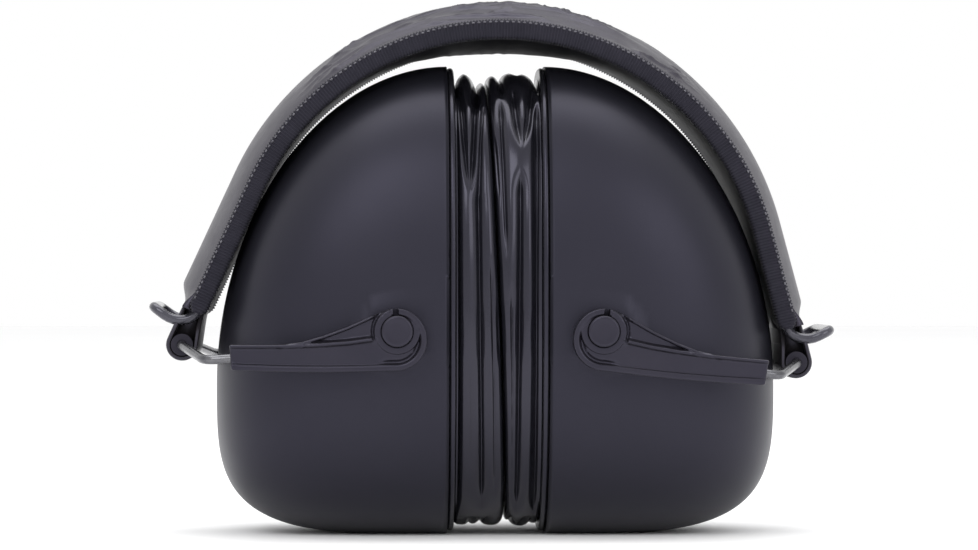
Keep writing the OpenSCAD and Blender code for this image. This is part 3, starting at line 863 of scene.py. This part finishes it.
def binding(name, way):
    """Ribbed woven tape folded over an edge of the headband."""
    pitch = 0.64
    s = ways_along(4 * int((PAD_END[-1] + PAD_END[1]) / pitch) + 1)
    a = np.linspace(0, 2 * np.pi, 22, endpoint=False)[None, :]
    c, t = np.cos(a), np.sin(a)
    half_h, half_w = 2.12, 1.55
    out = half_h * np.sign(t) * np.abs(t) ** 0.5
    along = HALF_BAND - half_w - 0.06 + half_w * np.sign(c) * np.abs(c) ** 0.55
    rib = 0.2 * np.cos(2 * np.pi * s / pitch)
    ends = np.sqrt(np.clip(to_end(s) / 1.6, 0.02, 1))
    shrink = 0.35 + 0.65 * ends
    wave = 0.05 * noise(s / 9.0, np.zeros_like(s), 51)
    verts = band_surface(s, (out + rib * np.sign(t) * np.abs(t) ** 0.6) * shrink + wave,
                         way * (along + rib * c * 0.8))
    points, faces = capped(verts)
    make_piece(f"{name}_tape", points, faces, "headband", TAPE, [name])


def stitches():
    """A row of stitches along each tape, near its outer edge."""
    pitch, half, r = 1.2, 0.3, 0.15
    turn = np.linspace(0, 2 * np.pi, 6, endpoint=False)
    parts = []
    for way in (-1, 1):
        for s in np.arange(-PAD_END[-1] + 3, PAD_END[1] - 2.5, pitch):
            rings = []
            for f, size in ((-1, 0.45), (-0.7, 1), (0, 1.1), (0.7, 1), (1, 0.45)):
                face = HALF_BAND + 0.06 - 0.12 * f ** 2
                rings.append(band_surface(s + f * half, 1.6 + r * size * np.cos(turn),
                                          way * (face + r * size * np.sin(turn))))
            parts.append(capped(rings))
    verts, faces = joined(parts)
    make_piece("headband_stitches", verts, faces, "headband", THREAD)


def frame_wire():
    """Spring wire in the headband. Its closed ends stand out of the cover as small tabs."""
    route = []
    for along, flip in ((-FRAME_Y, 1), (FRAME_Y, -1)):
        way_round = [(flip, *TAB_TIP), (flip, *TAB_FOOT), (flip, FRAME_STOP, 0)]
        far = [(-flip, FRAME_STOP, 0), (-flip, *TAB_FOOT), (-flip, *TAB_TIP)]
        route += [band_surface(w * (HINGE_AT[w] - stop), out, along) for w, stop, out in way_round]
        route += list(band_surface(np.linspace(flip * ARC[flip], -flip * ARC[-flip], 60), 0, along))
        route += [band_surface(w * (HINGE_AT[w] - stop), out, along) for w, stop, out in far]
    path = rounded_corners(route, 2.6, closed=True, steps=5)
    verts, faces = tube(path, FRAME_R, closed=True, sides=16)
    make_piece("frame_spring", verts, faces, "headband", BLACK_WIRE,
               ["frame_wire"])


def end_loop(name, side):
    """Leather sewn between cover and lining and turned back round the wire's bush."""
    mid = LOOP_R - LOOP_THICK / 2
    path = [(-18.6, 2.4), (-13.6, 2.7), (-8.6, 3.0), (-4.1, 3.0)]
    path += [(mid * math.sin(a), mid * math.cos(a)) for a in np.radians(np.arange(0, 205, 9))]
    path += [(-5, -1.6), (-7.6, -0.95), (-10.1, -0.7)]
    p = rounded_corners(path, 1.2, steps=4)
    way = np.gradient(p, axis=0)
    way /= np.linalg.norm(way, axis=1)[:, None]
    across = np.stack([-way[:, 1], way[:, 0]], 1)
    a = np.linspace(0, 2 * np.pi, 56, endpoint=False)
    c, t = np.cos(a), np.sin(a)
    rings = []
    for (run, out), (n_run, n_out) in zip(p, across):
        half = TONGUE_HALF + (BARREL_HALF - TONGUE_HALF) * smooth(run, -8.6, -2.6)
        flat = LOOP_THICK / 2 * np.sign(t) * np.abs(t) ** 0.45
        wide = half * np.sign(c) * np.abs(c) ** 0.12
        at = side * (HINGE_AT[side] + run + n_run * flat)
        rings.append(band_surface(at, out + n_out * flat, wide))
    seam = []
    turn = np.linspace(0, 2 * np.pi, 6, endpoint=False)
    seam_at = side * (HINGE_AT[side] - SEAM_BACK)
    for y in np.arange(-SEAM_HALF, SEAM_HALF + 0.1, SEAM_PITCH):
        for out, lean in ((3.6, 1), (-2.2, -1)):
            ring = []
            for f, size in ((-1, 0.45), (-0.6, 1), (0.6, 1), (1, 0.45)):
                rise = lean * (THREAD_R * size * np.sin(turn) - 0.1 * abs(f))
                ring.append(band_surface(seam_at + THREAD_R * size * np.cos(turn), out + rise, y + f * 0.7))
            seam.append(capped(ring))
    section = [(CORE_LOW, -CORE_HALF), (CORE_HIGH, -CORE_HALF),
               (CORE_HIGH, CORE_HALF), (CORE_LOW, CORE_HALF)]
    core = [[band_surface(side * (HINGE_AT[side] + run), out, y) for out, y in section]
            for run in (-11.0, -8.0, -5.0, -1.2)]
    verts, faces = joined([capped(rings), capped(core)])
    make_piece(f"{name}_leather_loop", verts, faces, "headband",
               LOOP_LEATHER, [f"{name}_end_loop"])
    verts, faces = joined(seam)
    make_piece(f"{name}_loop_stitches", verts, faces, "headband", THREAD)


# ---------------------------------------------------------------- build

arm_verts, arm_faces = arm_shape()
for cup, way in SIDES.items():
    cup_dome(cup, way)
    cushion_ring(cup, way)
    cushion(cup, way)
    foam_liner(cup, way)
    pivot_buttons(cup, way)
    stirrup(cup, way)
    end_loop(cup, way)
    placed = on_arm_line(arm_verts, cup)
    for place, facing in (("front", 1), ("rear", -1)):
        make_piece(f"{cup}_{place}_pivot_arm", mirrored(placed, way) * [1, facing, 1], arm_faces,
                   f"{cup}_arms", ARM_PLASTIC, [f"{cup}_{place}_arm"], sharp=60)
    for node, material in ((f"{cup}_mounting_plate", PLATE_PLASTIC), (f"{cup}_loop_bush", NYLON)):
        slots = frame["nodes"][node].data.materials
        slots.clear()
        slots.append(material)
headband_cover()
headband_lining()
binding("binding_front", -1)
binding("binding_rear", 1)
stitches()
frame_wire()


# ---------------------------------------------------------------- stage, light and camera

def stage():
    """A flat pale floor with no backdrop, so that views from behind are open."""
    reach = 4.0
    corners = [(-reach, -reach, 0), (reach, -reach, 0), (reach, reach, 0), (-reach, reach, 0)]
    mesh = bpy.data.meshes.new("floor")
    mesh.from_pydata(corners, [], [(0, 1, 2, 3)])
    mesh.materials.append(PALE)
    floor = bpy.data.objects.new("floor", mesh)
    bpy.context.scene.collection.objects.link(floor)


def area_light(name, at, size, energy):
    """A soft light aimed at the middle of the part."""
    light = bpy.data.lights.new(name, "AREA")
    light.shape, light.size, light.size_y = "RECTANGLE", *size
    light.energy = energy
    obj = bpy.data.objects.new(name, light)
    obj.location = at
    obj.rotation_euler = (Vector((0, 0, 0.055)) - Vector(at)).to_track_quat("-Z", "Y").to_euler()
    bpy.context.scene.collection.objects.link(obj)


stage()
area_light("key", (-0.5, -1.3, 1.0), (1.0, 0.8), 8)
area_light("fill", (0.9, -1.1, 0.6), (0.8, 0.8), 4.5)
area_light("top", (0, 0.2, 1.5), (1.6, 1.2), 14)

world = bpy.data.worlds.new("studio")
bpy.context.scene.world = world
world.use_nodes = True
background = world.node_tree.nodes["Background"]
background.inputs["Color"].default_value = (1, 1, 1, 1)
background.inputs["Strength"].default_value = 1.0
bpy.context.scene.view_settings.view_transform = "Standard"

DISTANCE, TURN, FRAME_WIDTH = 1.0, math.radians(1.7), 0.2152
aim = Vector((-0.0012, 0, 0.0563))
camera_data = bpy.data.cameras.new("camera")
camera_data.sensor_width = 36
camera_data.lens = camera_data.sensor_width * DISTANCE / FRAME_WIDTH
camera_data.clip_start = 0.01
camera = bpy.data.objects.new("camera", camera_data)
camera.location = aim + DISTANCE * Vector((-math.sin(TURN), -math.cos(TURN), 0))
camera.rotation_euler = (aim - camera.location).to_track_quat("-Z", "Y").to_euler()
bpy.context.scene.collection.objects.link(camera)
bpy.context.scene.camera = camera
